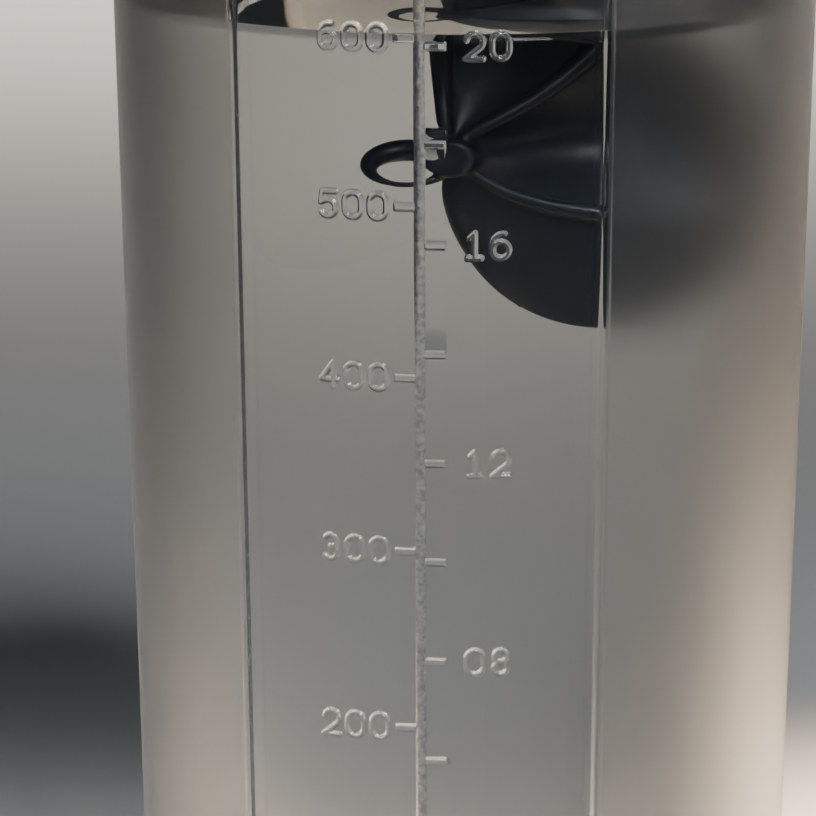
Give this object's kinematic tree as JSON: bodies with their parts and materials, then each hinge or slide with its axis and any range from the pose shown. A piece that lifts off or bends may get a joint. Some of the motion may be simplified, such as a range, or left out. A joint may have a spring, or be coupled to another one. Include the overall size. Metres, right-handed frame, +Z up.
{
  "type": "shaker bottle",
  "caption": "Graduated shaker bottle: tapered frosted cup with a clear scale window, screw lid with flip cap and carry loop, and a loose finned agitator.",
  "frame": {"origin": "centre of the foot, on the surface that the bottle stands on", "axes": "+Z up the bottle's axis, the scale window faces -Y, the carry loop is at +Y"},
  "size_m": [0.0944, 0.1011, 0.1941],
  "materials": {
    "cup_plastic": "clear, frosted outside the scale window",
    "lid_plastic": "fine satin",
    "cap_plastic": "satin",
    "loop_plastic": "satin",
    "silicone": "translucent matte",
    "pin_steel": "drawn wire",
    "agitator_plastic": "semi-gloss moulded"
  },
  "bodies": {
    "cup": {"cup": "cup_plastic"},
    "lid_carrier": {"lid_gasket": "silicone"},
    "lid": {"lid_shell": "lid_plastic", "cap_hinge_pin": "pin_steel", "loop_pin_left": "pin_steel", "loop_pin_right": "pin_steel"},
    "cap": {"flip_cap": "cap_plastic", "cap_plug": "silicone"},
    "loop": {"carry_loop": "loop_plastic"},
    "agitator": {"agitator": "agitator_plastic"}
  },
  "joints": [
    {"name": "lid_lift", "type": "slide", "parent": "cup", "child": "lid_carrier", "axis": [0, 0, 1], "range_m": [0, 0.0255]},
    {"name": "lid_turn", "type": "hinge", "parent": "lid_carrier", "child": "lid", "pos_m": [0, 0, 0.176], "axis": [0, 0, 1], "range_deg": [0, 900]},
    {"name": "cap_hinge", "type": "hinge", "parent": "lid", "child": "cap", "pos_m": [0, 0.003, 0.1901], "axis": [-1, 0, 0], "range_deg": [0, 140]},
    {"name": "loop_hinge", "type": "hinge", "parent": "lid", "child": "loop", "pos_m": [0, 0.0505, 0.174], "axis": [1, 0, 0], "range_deg": [0, 180]},
    {"name": "agitator_float", "type": "slide", "parent": "cup", "child": "agitator", "axis": [0, 0, 1], "range_m": [-0.085, 0.036]}
  ],
  "couplings": [
    {"joint": "lid_lift", "follows": "lid_turn", "m_per_rad": 0.0015915}
  ]
}
